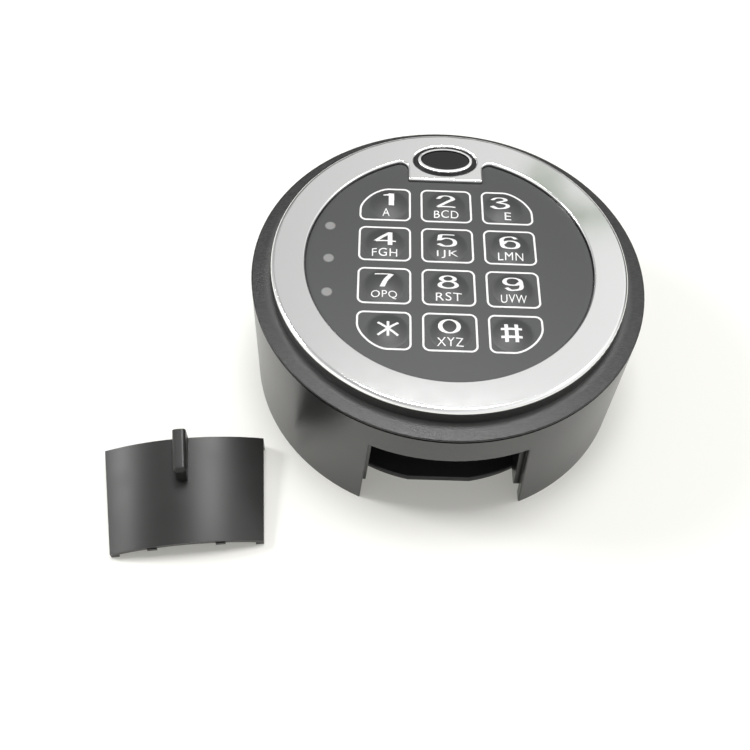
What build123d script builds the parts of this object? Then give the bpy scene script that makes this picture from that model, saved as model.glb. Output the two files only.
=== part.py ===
from build123d import *
import math
import os

# Electronic safe lock: a round keypad head that stands on the front of a safe door.
# Units are millimetres. The origin is where the drum's axis meets the back face of the base plate,
# +Z points out of the safe towards the keypad, and the battery opening faces -Y.

# Drum
drum_radius = 50.0
drum_draft = 0.25
drum_wall = 2.4
floor_thickness = 1.6
board_space = 8.2
overrun = 5.0
running_gap = 0.15
edge_shares = (0, 0.5, 1)
seat_gap = 0.1

# Top cover
lip_height = 1.0
groove_height = 0.6
groove_depth = 0.6
lip_round = 0.25
spigot_length = 2.5
spigot_wall = 1.8
spigot_gap = 0.1
rim_width = 5.0
step_height = 3.2
step_wall = 2.3
deck_thickness = 2.0
overlay_recess = 0.3

# Bezel
bezel_thickness = 1.2
ring_width = 8.6
bezel_edge_round = 1.1
bezel_inner_round = 0.5
pad_reach = 8.75
pad_width = 19.8
pad_corner = 0.6
ear_round = 2.2
bezel_leg_radius = 1.5
bezel_leg_inset = 5.0
bezel_leg_length = 3.0
bezel_leg_angles = (20, 160, 200, 340)

# Keypad
overlay_thickness = 0.5
key_columns = 3
key_rows = 4
key_pitch_x_share = 0.44
key_pitch_y_share = 0.374
keypad_x = -0.4
keypad_y = -1.6
corner_key_shift = 1.0
key_radius_share = 0.143
key_rise = 0.7
key_travel = 0.5
key_flange_width = 0.8
key_flange_thickness = 0.9

# Key mat and circuit board
mat_thickness = 0.8
mat_dome_height = 0.7
mat_dome_base = 3.6
mat_dome_top = 2.2
mat_margin = 1.1
mat_corner = 4.0
board_edge_gap = 0.5
board_thickness = 1.6
board_screw_inset = 3.8
board_screw_angles = (35, 145, 215, 325)
board_boss_radius = 2.6
board_screw_radius = 1.0
board_head_radius = 2.0
board_head_height = 1.2

# Indicator lights
light_radius = 1.53
light_pitch_share = 0.297
light_inset = 5.9
light_flange_radius = 2.3
light_flange_thickness = 0.8
light_length = 4.3
led_length = 3.2
led_width = 1.6
led_height = 1.1

# Oval reader
reader_inset = 1.6
reader_width = 17.0
reader_depth = 11.2
moat_width = 1.15
moat_depth = 0.6
reader_lip_width = 0.75
reader_lip_rise = 0.4
reader_core_drop = 0.2
reader_core_round = 0.4
reader_well_depth = 3.0
reader_floor = 1.7
reader_flange = 1.0
reader_flange_thickness = 1.1
reader_pin_radius = 0.5
reader_pin_spacing = 6.0

# Battery bay for two 9 V block batteries side by side on edge, and its front opening
battery_width = 17.5
battery_depth = 26.5
battery_side_room = 0.8
battery_head_room = 0.6
bay_taper = 3.0
bay_rib = 1.5
bay_setback = 5.4
bay_rear = 9.0
opening_border = 2.4
opening_taper = 3.2
opening_drop = 0.3
opening_edge_round = 0.3
bay_rear_wall = 1.6
bay_foot = 1.8
bay_corner_round = 2.0

# Battery terminals
terminal_plate_thickness = 2.0
terminal_side_gap = 1.1
terminal_plate_foot = 3.0
terminal_top_gap = 2.1
snap_column_gap = 0.7
snap_spacing = 12.7
stud_radius = 2.9
stud_neck_radius = 2.4
stud_height = 2.6
socket_outer_radius = 3.9
socket_inner_radius = 3.0
socket_height = 2.4
socket_floor = 0.5
strip_width = 3.0
strip_thickness = 0.5
strip_foot = 12.0
strip_gap = 0.2

# Parts under the board
chip_size = 10.0
chip_height = 1.6
chip_place_shares = (0.31, -0.31)
buzzer_radius_share = 0.14
buzzer_height = 3.0
buzzer_place_shares = (-0.42, 0.57)
buzzer_port_radius = 1.0
buzzer_port_depth = 1.0
socket_body_x = 12.4
socket_body_y = 5.8
socket_body_height = 7.0
socket_cavity_wall = 1.2
socket_cavity_depth = 5.0
socket_pin_count = 4
socket_pin_pitch = 2.0
socket_pin_size = 0.5
socket_pin_length = 3.5
deck_slot_margin = 1.8

# Base plate and its fixings
plate_margin = 6.6
plate_thickness = 1.5
plate_flat_depth = 0.8
plate_edge_round = 0.5
cable_hole_radius = 5.0
cable_hole_setback = 8.0
fixing_spacing = 41.3
nut_bore_radius = 1.65
nut_shank_radius = 2.7
nut_flat_width = 7.0
nut_height = 3.2
plate_screw_inset = 7.0
plate_screw_angles = (90, 210, 330)
plate_pillar_radius = 4.0
plate_screw_radius = 1.5
plate_screw_length = 10.0
plate_head_radius = 2.9
plate_head_height = 1.2
gusset_thickness = 1.5
gusset_foot = 6.0
gusset_bite = 1.0

# Case screws
case_screw_inset = 3.0
case_screw_angles = (50, 130, 230, 310)
case_boss_radius = 3.2
case_screw_radius = 1.5
case_screw_length = 8.0
case_head_radius = 2.8
case_head_height = 1.7
screw_recess_radius = 0.9
screw_recess_depth = 0.7
pilot_extra = 1.0

# Battery cover
cover_gap = 0.15
cover_thickness = 1.4
rail_width = 2.0
rail_depth = 1.0
flange_clearance = 0.2
tab_width = 3.4
tab_length = 13.7
tab_height = 6.2
tab_offset = 0.3
tab_round = 2.8
lug_width = 2.4
lug_thickness = 0.8
lug_bite = 0.4
lug_reach = 0.6
lug_room = 0.15
lug_pocket_depth = 2.2
lug_spacing = 16.8
cover_rest_left = 13.3
cover_rest_ahead = 12.1
cover_rest_turn = 7.4

# Plan sizes that follow from the sizes above, from the drum's wall inwards
drum_inner = drum_radius - drum_wall
step_radius = drum_radius - rim_width
step_inner = step_radius - step_wall
bezel_inner_radius = step_radius - ring_width
bezel_leg_circle = step_radius - bezel_leg_inset
pad_edge_y = bezel_inner_radius - pad_reach
reader_y = bezel_inner_radius - reader_inset
key_pitch_x = bezel_inner_radius * key_pitch_x_share
key_pitch_y = bezel_inner_radius * key_pitch_y_share
key_radius = bezel_inner_radius * key_radius_share
key_flange_radius = key_radius + key_flange_width
mat_border = key_flange_radius + mat_margin
light_x = light_inset - bezel_inner_radius
light_pitch = bezel_inner_radius * light_pitch_share
case_screw_circle = step_radius - case_screw_inset
board_radius = case_screw_circle - case_boss_radius - board_edge_gap
board_screw_circle = board_radius - board_screw_inset
buzzer_radius = board_radius * buzzer_radius_share
plate_radius = drum_inner - plate_margin
plate_flat_y = plate_flat_depth - plate_radius
plate_screw_circle = plate_radius - plate_screw_inset
bay_front = bay_setback - drum_inner
bay_top_width = 2 * battery_width + battery_side_room
bay_base_width = bay_top_width + bay_taper
opening_top_width = bay_top_width + opening_border
opening_base_width = opening_top_width + opening_taper
terminal_plate_width = bay_top_width - 2 * terminal_side_gap
snap_column_pitch = battery_width + snap_column_gap
cable_hole_y = bay_rear + cable_hole_setback
cover_inner = drum_radius - cover_thickness
lug_x = lug_spacing / 2
lug_face_y = -math.sqrt(cover_inner**2 - lug_x**2) - lug_bite
cover_rest_x = -drum_radius - cover_rest_left
cover_rest_y = -drum_radius - cover_rest_ahead

# Heights that follow, from the base plate upwards
bay_ceiling = plate_thickness + battery_depth + battery_head_room
opening_height = bay_ceiling - opening_drop
floor_top = bay_ceiling + floor_thickness
terminal_top = bay_ceiling - terminal_top_gap
drum_height = bay_ceiling + board_space
rim_top = drum_height + lip_height
seat_top = rim_top + step_height
overlay_floor = seat_top - overlay_recess
overlay_top = overlay_floor + overlay_thickness
deck_under = overlay_floor - deck_thickness
bezel_top = seat_top + bezel_thickness
key_flange_top = deck_under - seat_gap
key_flange_low = key_flange_top - key_flange_thickness
mat_top = key_flange_low - key_travel - seat_gap - mat_dome_height
board_top = mat_top - mat_thickness
board_under = board_top - board_thickness
reader_floor_top = bezel_top - reader_well_depth


def upright(radius, low, high):
    """A round post or hole from one height to another."""
    return Pos(0, 0, low) * Cylinder(radius, high - low, align=(Align.CENTER, Align.CENTER, Align.MIN))


def block(width, depth, low, high):
    """A rectangular block centred in plan, from one height to another."""
    middle = (Align.CENTER, Align.CENTER, Align.MIN)
    return Pos(0, 0, low) * Box(width, depth, high - low, align=middle)


def turned(points):
    """A solid of revolution about the drum's axis from an outline of (radius, height) points."""
    return revolve(Plane.XZ * make_face(Polyline(*points, close=True)), Axis.Z)


def along_y(points, low, high):
    """A bar with an outline of (x, z) points that runs from one y to another."""
    return extrude(Plane.XZ.offset(-high) * make_face(Polyline(*points, close=True)), high - low)


def in_front_of(y):
    """A large block that holds everything in front of an upright plane."""
    size = 2 * drum_radius + overrun
    return Pos(0, y, 0) * Box(size, size, size, align=(Align.CENTER, Align.MAX, Align.CENTER))


def oval(width, depth, low, high):
    """An upright elliptical post or hole."""
    return Pos(0, 0, low) * extrude(Ellipse(width / 2, depth / 2), high - low)


def on_circle(radius, angles):
    """Places at the given angles on a circle about the drum's axis."""
    return [Rot(0, 0, angle) * Pos(radius, 0, 0) for angle in angles]


def at(places, shape):
    """The shape repeated at each place."""
    return [place * shape for place in places]


def key_places():
    """The centre of each key with its row and column, from the top left."""
    places = []
    for row in range(key_rows):
        for column in range(key_columns):
            side = column - (key_columns - 1) / 2
            x = keypad_x + side * key_pitch_x
            if row in (0, key_rows - 1) and side:
                x -= math.copysign(corner_key_shift, side)
            y = keypad_y + ((key_rows - 1) / 2 - row) * key_pitch_y
            places.append(Pos(x, y, 0))
    return places


def light_places():
    """The centres of the three indicator lights, from the top."""
    return [Pos(light_x, side * light_pitch, 0) for side in (1, 0, -1)]


def lug_places():
    """The middle of each lug's outer face, which is buried in the battery cover's plate."""
    return [Pos(side * lug_x, lug_face_y, 0) for side in (-1, 1)]


def panel_outline(growth):
    """The keypad window: a disc with a notch for the bezel's pad and rounded ears beside it."""
    notch_width = pad_width - 2 * growth
    notch = Pos(keypad_x, pad_edge_y + growth) * Rectangle(
        notch_width, bezel_inner_radius, align=(Align.CENTER, Align.MIN)
    )
    outline = Circle(bezel_inner_radius + growth) - notch
    ears = [v for v in outline.vertices() if v.Y > pad_edge_y + growth + pad_corner]
    outline = fillet(ears, ear_round)
    inner = [v for v in outline.vertices() if abs(v.Y - pad_edge_y - growth) < running_gap / 2]
    return fillet(inner, pad_corner)


def bay_outline(extra, foot):
    """The cross-section of the battery bay, grown sideways by extra."""
    top = bay_top_width / 2 + extra
    slope = (bay_base_width - bay_top_width) / 2 / (bay_ceiling - bay_foot)
    base = top + slope * (bay_ceiling - foot)
    return [(-base, foot), (base, foot), (top, bay_ceiling), (-top, bay_ceiling)]


def opening_outline(gap, low, high):
    """The tapered front opening between two heights, drawn in by gap at each side."""
    slope = (opening_base_width - opening_top_width) / 2 / opening_height
    base = opening_top_width / 2 - gap + slope * (opening_height - low)
    top = opening_top_width / 2 - gap + slope * (opening_height - high)
    return [(-base, low), (base, low), (top, high), (-top, high)]


def is_outer_edge(edge):
    """Whether an edge lies on the drum's outer face."""
    points = [edge @ share for share in edge_shares]
    return all(math.hypot(p.X, p.Y) > drum_radius - running_gap for p in points)


def on_opening(edge):
    """Whether an edge lies above the table on the border of the front opening."""
    middle = edge.center()
    return middle.Y < bay_front and seat_gap < middle.Z < opening_height + seat_gap


def make_housing():
    """The drum: drafted wall, floor over the battery bay, bay ribs and screw pillars."""
    wall = turned(
        [
            (drum_inner, 0),
            (drum_radius + drum_draft, 0),
            (drum_radius, drum_height),
            (drum_inner, drum_height),
        ]
    )
    opening = opening_outline(0, -overrun, opening_height)
    wall -= along_y(opening, -drum_radius - overrun, bay_front + overrun)
    # The opening's outer edges: its two sides and its top
    outside = wall.edges().filter_by(lambda e: is_outer_edge(e) and on_opening(e))
    wall = fillet(outside, opening_edge_round)
    body = wall + upright(drum_inner, bay_ceiling, floor_top)
    # The bay's ribs and rear wall, with their lower front corners rounded
    rear = bay_rear + bay_rear_wall
    shell = along_y(bay_outline(bay_rib, bay_foot), bay_front, rear)
    shell -= along_y(bay_outline(0, bay_foot - overrun), bay_front - overrun, bay_rear)
    side = Plane.YZ * Pos(bay_front, bay_foot) * Rectangle(
        rear - bay_front, bay_ceiling - bay_foot, align=(Align.MIN, Align.MIN)
    )
    side = fillet(side.vertices().group_by(Axis.Z)[0].group_by(Axis.Y)[0], bay_corner_round)
    body += shell & extrude(side, bay_base_width, both=True)
    # Pillars for the base plate's screws, each tied to the wall by a gusset
    reach = drum_inner - plate_screw_circle
    gusset = Pos(reach / 2, 0, 0) * block(reach + gusset_bite, gusset_thickness, gusset_foot, bay_ceiling)
    pillar = upright(plate_pillar_radius, plate_thickness, bay_ceiling) + gusset
    body += at(on_circle(plate_screw_circle, plate_screw_angles), pillar)
    pilot = upright(plate_screw_radius, 0, plate_screw_length + pilot_extra)
    body -= at(on_circle(plate_screw_circle, plate_screw_angles), pilot)
    # Pockets behind the opening's upper edge for the cover's lugs
    pocket = Pos(0, -lug_room, opening_height - seat_gap) * Box(
        lug_width + 2 * lug_room,
        lug_pocket_depth,
        seat_gap + lug_reach,
        align=(Align.CENTER, Align.MIN, Align.MIN),
    )
    body -= at(lug_places(), pocket)
    # The case screw holes and the slots for the socket and the strips
    hole = upright(case_screw_radius + running_gap, bay_ceiling - overrun, floor_top + overrun)
    body -= at(on_circle(case_screw_circle, case_screw_angles), hole)
    slot = block(
        socket_body_x + 2 * deck_slot_margin,
        socket_body_y + 2 * deck_slot_margin,
        bay_ceiling - overrun,
        floor_top + overrun,
    )
    body -= Pos(0, cable_hole_y, 0) * slot
    slot_width = strip_width + 2 * strip_gap
    slot_depth = strip_thickness + 2 * strip_gap
    strip_slot = block(slot_width, slot_depth, bay_ceiling - strip_gap, floor_top + overrun)
    for side in (-1, 1):
        body -= Pos(side * snap_column_pitch / 2, bay_rear - strip_thickness / 2, 0) * strip_slot
    return body


def make_top_cover():
    """The black disc that closes the drum, with its rim, its raised step and its bosses."""
    body = turned(
        [
            (0, deck_under),
            (step_inner, deck_under),
            (step_inner, drum_height - spigot_wall),
            (drum_inner - spigot_gap - spigot_wall, drum_height - spigot_wall),
            (drum_inner - spigot_gap - spigot_wall, drum_height - spigot_length),
            (drum_inner - spigot_gap, drum_height - spigot_length),
            (drum_inner - spigot_gap, drum_height),
            (drum_radius - groove_depth, drum_height),
            (drum_radius - groove_depth, drum_height + groove_height),
            (drum_radius, drum_height + groove_height),
            (drum_radius, rim_top),
            (step_radius, rim_top),
            (step_radius, seat_top),
            (0, seat_top),
        ]
    )
    circles = body.edges().filter_by(GeomType.CIRCLE)
    rim_edges = circles.filter_by(lambda e: abs(e.radius - drum_radius) < seat_gap)
    body = fillet(rim_edges.sort_by(Axis.Z)[-1], lip_round)
    case_boss = upright(case_boss_radius, floor_top, deck_under + seat_gap)
    body += at(on_circle(case_screw_circle, case_screw_angles), case_boss)
    board_boss = upright(board_boss_radius, board_top, deck_under + seat_gap)
    body += at(on_circle(board_screw_circle, board_screw_angles), board_boss)
    body -= Pos(0, 0, overlay_floor) * extrude(panel_outline(0), overrun)
    pilot_end = floor_top + case_screw_length + pilot_extra
    case_pilot = upright(case_screw_radius, floor_top - overrun, pilot_end)
    body -= at(on_circle(case_screw_circle, case_screw_angles), case_pilot)
    board_pilot = upright(board_screw_radius, board_top - overrun, deck_under)
    body -= at(on_circle(board_screw_circle, board_screw_angles), board_pilot)
    body -= at(key_places(), upright(key_radius + running_gap, deck_under - overrun, seat_top + overrun))
    body -= at(light_places(), upright(light_radius, deck_under - overrun, seat_top + overrun))
    leg_hole = upright(bezel_leg_radius, deck_under - overrun, seat_top + overrun)
    body -= at(on_circle(bezel_leg_circle, bezel_leg_angles), leg_hole)
    well = oval(reader_width, reader_depth, deck_under - overrun, seat_top + overrun)
    body -= Pos(keypad_x, reader_y, 0) * well
    return body


def make_bezel():
    """The plated ring with the reader's pad at its top and four legs underneath."""
    ring = Circle(step_radius) - panel_outline(0)
    body = Pos(0, 0, seat_top) * extrude(ring, bezel_thickness)
    top_edges = body.faces().sort_by(Axis.Z)[-1].edges()
    outer = top_edges.filter_by(lambda e: abs(e.length - 2 * math.pi * step_radius) < overrun)
    body = fillet(outer, bezel_edge_round)
    inner = body.faces().sort_by(Axis.Z)[-1].inner_wires()[0].edges()
    body = fillet(inner, bezel_inner_round)
    leg = upright(bezel_leg_radius, seat_top - bezel_leg_length, seat_top)
    body += at(on_circle(bezel_leg_circle, bezel_leg_angles), leg)
    well = oval(reader_width, reader_depth, seat_top - overrun, bezel_top + overrun)
    body -= Pos(keypad_x, reader_y, 0) * well
    return body


def make_overlay():
    """The keypad's graphic panel, with holes for the keys and the lights."""
    body = Pos(0, 0, overlay_floor) * extrude(panel_outline(-seat_gap), overlay_thickness)
    low = overlay_floor - overrun
    high = overlay_top + overrun
    body -= at(key_places(), upright(key_radius + running_gap, low, high))
    body -= at(light_places(), upright(light_radius, low, high))
    return body


def make_key():
    """One key: a pillow top on a round stem, held under the deck by its flange."""
    sphere = (key_radius**2 + key_rise**2) / (2 * key_rise)
    half = key_radius / 2
    crown = overlay_top + key_rise
    outline = Polyline(
        (0, crown),
        (0, key_flange_low),
        (key_flange_radius, key_flange_low),
        (key_flange_radius, key_flange_top),
        (key_radius, key_flange_top),
        (key_radius, overlay_top),
    )
    arc = ThreePointArc(
        (key_radius, overlay_top), (half, crown - sphere + math.sqrt(sphere**2 - half**2)), (0, crown)
    )
    return revolve(Plane.XZ * make_face(outline + arc), Axis.Z)


def make_mat():
    """The silicone mat: a sheet on the board with one blunt dome under each key."""
    width = (key_columns - 1) * key_pitch_x + 2 * mat_border
    depth = (key_rows - 1) * key_pitch_y + 2 * mat_border
    sheet = extrude(RectangleRounded(width, depth, mat_corner), mat_thickness)
    sheet = Pos(keypad_x, keypad_y, board_top) * sheet
    dome = Pos(0, 0, mat_top + mat_dome_height / 2) * Cone(mat_dome_base, mat_dome_top, mat_dome_height)
    return sheet + at(key_places(), dome)


def make_board():
    """The round circuit board, with holes for its screws."""
    body = upright(board_radius, board_under, board_top)
    hole = upright(board_screw_radius + running_gap, board_under - overrun, board_top + overrun)
    return body - at(on_circle(board_screw_circle, board_screw_angles), hole)


def make_chip():
    """The controller, a flat square package under the board."""
    x, y = (board_radius * share for share in chip_place_shares)
    return Pos(x, y, 0) * block(chip_size, chip_size, board_under - chip_height, board_under)


def make_buzzer():
    """The round buzzer under the board, with its sound port."""
    low = board_under - buzzer_height
    can = upright(buzzer_radius, low, board_under)
    port = upright(buzzer_port_radius, low - overrun, low + buzzer_port_depth)
    x, y = (board_radius * share for share in buzzer_place_shares)
    return Pos(x, y, 0) * (can - port)


def make_lock_socket():
    """The open pin header that takes the lead from the lock behind the door."""
    low = board_under - socket_body_height
    body = block(socket_body_x, socket_body_y, low, board_under)
    cavity = block(
        socket_body_x - 2 * socket_cavity_wall,
        socket_body_y - 2 * socket_cavity_wall,
        low - overrun,
        low + socket_cavity_depth,
    )
    body -= cavity
    top = low + socket_cavity_depth + socket_pin_size
    for number in range(socket_pin_count):
        x = (number - (socket_pin_count - 1) / 2) * socket_pin_pitch
        body += Pos(x, 0, 0) * block(socket_pin_size, socket_pin_size, top - socket_pin_length, top)
    return Pos(0, cable_hole_y, 0) * body


def make_led():
    """One surface-mounted light under its light pipe."""
    return block(led_width, led_length, board_top, board_top + led_height)


def make_light_pipe():
    """One translucent light pipe, flush with the overlay and held under the deck by its flange."""
    pipe = upright(light_radius, overlay_top - light_length, overlay_top)
    return pipe + upright(light_flange_radius, deck_under - light_flange_thickness, deck_under)


def make_reader_insulator():
    """The oval bush that keeps the reader's contacts apart from the bezel."""
    body = oval(reader_width, reader_depth, reader_floor_top - reader_floor, bezel_top - moat_depth)
    body += oval(
        reader_width + 2 * reader_flange,
        reader_depth + 2 * reader_flange,
        deck_under - reader_flange_thickness,
        deck_under,
    )
    well_width = reader_width - 2 * moat_width
    well_depth = reader_depth - 2 * moat_width
    body -= oval(well_width, well_depth, reader_floor_top, bezel_top + overrun)
    hole = upright(reader_pin_radius, board_top, bezel_top)
    for side in (-1, 1):
        body -= Pos(side * reader_pin_spacing / 2, 0, 0) * hole
    return Pos(keypad_x, reader_y, 0) * body


def make_reader_ring():
    """The bright oval lip that a touch key lands on."""
    width = reader_width - 2 * moat_width
    depth = reader_depth - 2 * moat_width
    top = bezel_top + reader_lip_rise
    body = oval(width, depth, reader_floor_top, top)
    body = fillet(body.edges().group_by(Axis.Z)[-1], reader_lip_width / 3)
    inner_width = width - 2 * reader_lip_width
    inner_depth = depth - 2 * reader_lip_width
    body -= oval(inner_width, inner_depth, reader_floor_top - overrun, top + overrun)
    return Pos(keypad_x, reader_y, 0) * body


def make_reader_core():
    """The dark oval centre contact inside the lip."""
    width = reader_width - 2 * moat_width - 2 * reader_lip_width - 2 * seat_gap
    depth = reader_depth - 2 * moat_width - 2 * reader_lip_width - 2 * seat_gap
    body = oval(width, depth, reader_floor_top, bezel_top + reader_lip_rise - reader_core_drop)
    body = fillet(body.edges().group_by(Axis.Z)[-1], reader_core_round)
    return Pos(keypad_x, reader_y, 0) * body


def make_reader_pins():
    """Two pins from the reader down to the board."""
    pin = upright(reader_pin_radius, board_top, reader_floor_top)
    return [Pos(keypad_x + side * reader_pin_spacing / 2, reader_y, 0) * pin for side in (-1, 1)]


def snap_places(height_sign):
    """The snap positions of one kind, one beside the other, on the terminal plate's front face."""
    z = (terminal_plate_foot + terminal_top + height_sign * snap_spacing) / 2
    y = bay_rear - terminal_plate_thickness
    return [Pos(side * snap_column_pitch / 2, y, z) * Rot(90, 0, 0) for side in (-1, 1)]


def make_terminal_plate():
    """The insulating plate at the back of the bay, grooved behind for the conductor strips."""
    body = Pos(0, bay_rear - terminal_plate_thickness / 2, 0) * block(
        terminal_plate_width, terminal_plate_thickness, terminal_plate_foot, terminal_top
    )
    for side in (-1, 1):
        groove = block(strip_width, strip_thickness, strip_foot, terminal_top + overrun)
        body -= Pos(side * snap_column_pitch / 2, bay_rear - strip_thickness / 2, 0) * groove
    return body


def make_snaps():
    """Two snap pairs, a stud above and a socket below, for two block batteries."""
    stud = upright(stud_neck_radius, 0, stud_height / 2)
    stud += upright(stud_radius, stud_height / 2, stud_height)
    cup = upright(socket_outer_radius, 0, socket_height)
    cup -= upright(socket_inner_radius, socket_floor, overrun)
    return at(snap_places(1), stud) + at(snap_places(-1), cup)


def make_strips():
    """Two flat conductors from behind the snaps up to the circuit board."""
    strip = block(strip_width, strip_thickness, strip_foot, board_under)
    y = bay_rear - strip_thickness / 2
    return [Pos(side * snap_column_pitch / 2, y, 0) * strip for side in (-1, 1)]


def countersunk_screw(shank, length, head, head_height):
    """A flat-headed screw with its head's face at height 0 and its point upwards."""
    cone = Pos(0, 0, head_height / 2) * Cone(head, shank, head_height)
    body = cone + upright(shank, head_height, length)
    return body - upright(screw_recess_radius, -overrun, screw_recess_depth)


def pan_screw(shank, length, head, head_height):
    """A pan-headed screw whose head hangs below height 0 and whose shank stands up."""
    body = upright(head, -head_height, 0) + upright(shank, 0, length)
    return body - upright(screw_recess_radius, -head_height - overrun, screw_recess_depth - head_height)


def make_base_plate():
    """The mounting plate: a disc with a flat at its front, the cable hole and the fixing holes."""
    body = upright(plate_radius, 0, plate_thickness)
    cut = Pos(0, plate_flat_y, -overrun) * Box(
        2 * plate_radius, plate_radius, 3 * overrun, align=(Align.CENTER, Align.MAX, Align.MIN)
    )
    body -= cut
    body = fillet(body.faces().sort_by(Axis.Z)[-1].edges(), plate_edge_round)
    body -= Pos(0, cable_hole_y, 0) * upright(cable_hole_radius, -overrun, plate_thickness + overrun)
    for side in (-1, 1):
        hole = upright(nut_shank_radius, -overrun, plate_thickness + overrun)
        body -= Pos(side * fixing_spacing / 2, cable_hole_y, 0) * hole
    sink = Pos(0, 0, plate_head_height / 2) * Cone(plate_head_radius, plate_screw_radius, plate_head_height)
    sink += upright(plate_screw_radius, plate_head_height, plate_thickness + overrun)
    return body - at(on_circle(plate_screw_circle, plate_screw_angles), sink)


def make_clinch_nuts():
    """The two nuts pressed into the base plate for the screws that come through the door."""
    head = Pos(0, 0, plate_thickness) * extrude(
        RegularPolygon(nut_flat_width / 2, 6, major_radius=False), nut_height
    )
    nut = head + upright(nut_shank_radius, 0, plate_thickness)
    nut -= upright(nut_bore_radius, -overrun, plate_thickness + nut_height + overrun)
    return [Pos(side * fixing_spacing / 2, cable_hole_y, 0) * nut for side in (-1, 1)]


def cover_seated():
    """The battery cover as it sits in the opening, its inner parts built behind its curved plate."""
    low = cover_gap
    high = opening_height - cover_gap
    wedge = along_y(opening_outline(cover_gap, low, high), -drum_radius - overrun, -step_inner / 2)
    plate = upright(drum_radius, low, high) - upright(cover_inner, low - overrun, high + overrun)
    plate &= wedge
    # Side rails, down to one plane so that the cover can lie flat on them
    corner = math.sqrt(cover_inner**2 - (opening_top_width / 2 - cover_gap) ** 2)
    rail_plane = -corner + rail_depth
    middle = drum_radius - cover_thickness / 2
    rails = upright(middle, low, high) & wedge & in_front_of(rail_plane)
    between = opening_outline(cover_gap + rail_width, low - overrun, high + overrun)
    rails -= along_y(between, -drum_radius - overrun, 0)
    # The flange at the wide end reaches in to the base plate's flat
    flange_plane = plate_flat_y - flange_clearance
    flange = upright(middle, low, plate_thickness) & wedge & in_front_of(flange_plane)
    body = plate + rails + flange
    # The pull tab stands out of the plate at the wide end
    front = -math.sqrt(drum_radius**2 - (abs(tab_offset) + tab_width / 2) ** 2)
    tab = Pos(tab_offset, front + cover_thickness / 2, low) * Box(
        tab_width, tab_height + cover_thickness / 2, tab_length, align=(Align.CENTER, Align.MAX, Align.MIN)
    )
    nose = tab.edges().filter_by(Axis.X).group_by(Axis.Y)[0].group_by(Axis.Z)[-1]
    body += fillet(nose, tab_round)
    # Two lugs under the narrow end hook behind the opening's upper edge
    lug = Pos(0, 0, high - lug_width) * Box(
        lug_width,
        lug_bite + lug_thickness,
        lug_width + lug_reach,
        align=(Align.CENTER, Align.MIN, Align.MIN),
    )
    body += at(lug_places(), lug)
    return body, rail_plane, flange_plane


def make_battery_cover():
    """The battery cover as it lies in front of the drum, outer face up, on its rails and flange."""
    body, rail_plane, flange_plane = cover_seated()
    high = opening_height - cover_gap
    # Turn the outer face up and the narrow end towards -Y, with the narrow end's rails at the origin
    body = Rot(0, 0, 180) * Rot(-90, 0, 0) * Pos(0, -rail_plane, -high) * body
    tilt = math.degrees(math.atan2(flange_plane - rail_plane, high - plate_thickness))
    body = Rot(tilt, 0, 0) * body
    return Pos(cover_rest_x, cover_rest_y, 0) * Rot(0, 0, cover_rest_turn) * body


def save(name, shape):
    """Write one piece, or a group of like pieces, as its own STEP file."""
    solids = shape if isinstance(shape, (list, ShapeList)) else [shape]
    solids = [solid for item in solids for solid in item.solids()]
    export_step(solids[0] if len(solids) == 1 else Compound(solids), f"parts/{name}.step")


os.makedirs("parts", exist_ok=True)
save("housing", make_housing())
save("top_cover", make_top_cover())
save("bezel", make_bezel())
save("keypad_overlay", make_overlay())
key_names = ("1", "2", "3", "4", "5", "6", "7", "8", "9", "star", "0", "hash")
for key_name, key_place in zip(key_names, key_places()):
    save(f"key_{key_name}", key_place * make_key())
save("key_mat", make_mat())
save("circuit_board", make_board())
save("controller_chip", make_chip())
save("buzzer", make_buzzer())
save("lock_socket", make_lock_socket())
save("indicator_leds", at(light_places(), make_led()))
save("light_pipes", at(light_places(), make_light_pipe()))
save("reader_insulator", make_reader_insulator())
save("reader_ring", make_reader_ring())
save("reader_core", make_reader_core())
save("reader_pins", make_reader_pins())
save("terminal_plate", make_terminal_plate())
save("battery_snaps", make_snaps())
save("battery_strips", make_strips())
save("base_plate", make_base_plate())
save("clinch_nuts", make_clinch_nuts())
plate_screw = countersunk_screw(
    plate_screw_radius, plate_screw_length, plate_head_radius, plate_head_height
)
save("plate_screws", at(on_circle(plate_screw_circle, plate_screw_angles), plate_screw))
case_screw = Pos(0, 0, bay_ceiling) * pan_screw(
    case_screw_radius, case_screw_length, case_head_radius, case_head_height
)
save("case_screws", at(on_circle(case_screw_circle, case_screw_angles), case_screw))
board_screw = Pos(0, 0, board_under) * pan_screw(
    board_screw_radius, deck_under - board_under - pilot_extra, board_head_radius, board_head_height
)
save("board_screws", at(on_circle(board_screw_circle, board_screw_angles), board_screw))
save("battery_cover", make_battery_cover())
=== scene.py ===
# %% [markdown]
# # The keypad head of an electronic safe lock
#
# This is the round head that stands on the front of a safe door. A black drum holds two batteries
# behind a curved cover, and its top carries a chrome ring, a grey keypad panel and an oval reader
# for a touch key. The cover has been taken off and lies on the table. The CAD model already has
# every solid part in its true place, so this script keeps those places and makes the surfaces
# look real.

import math

import bmesh
import bpy
from mathutils import Matrix, Vector


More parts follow.
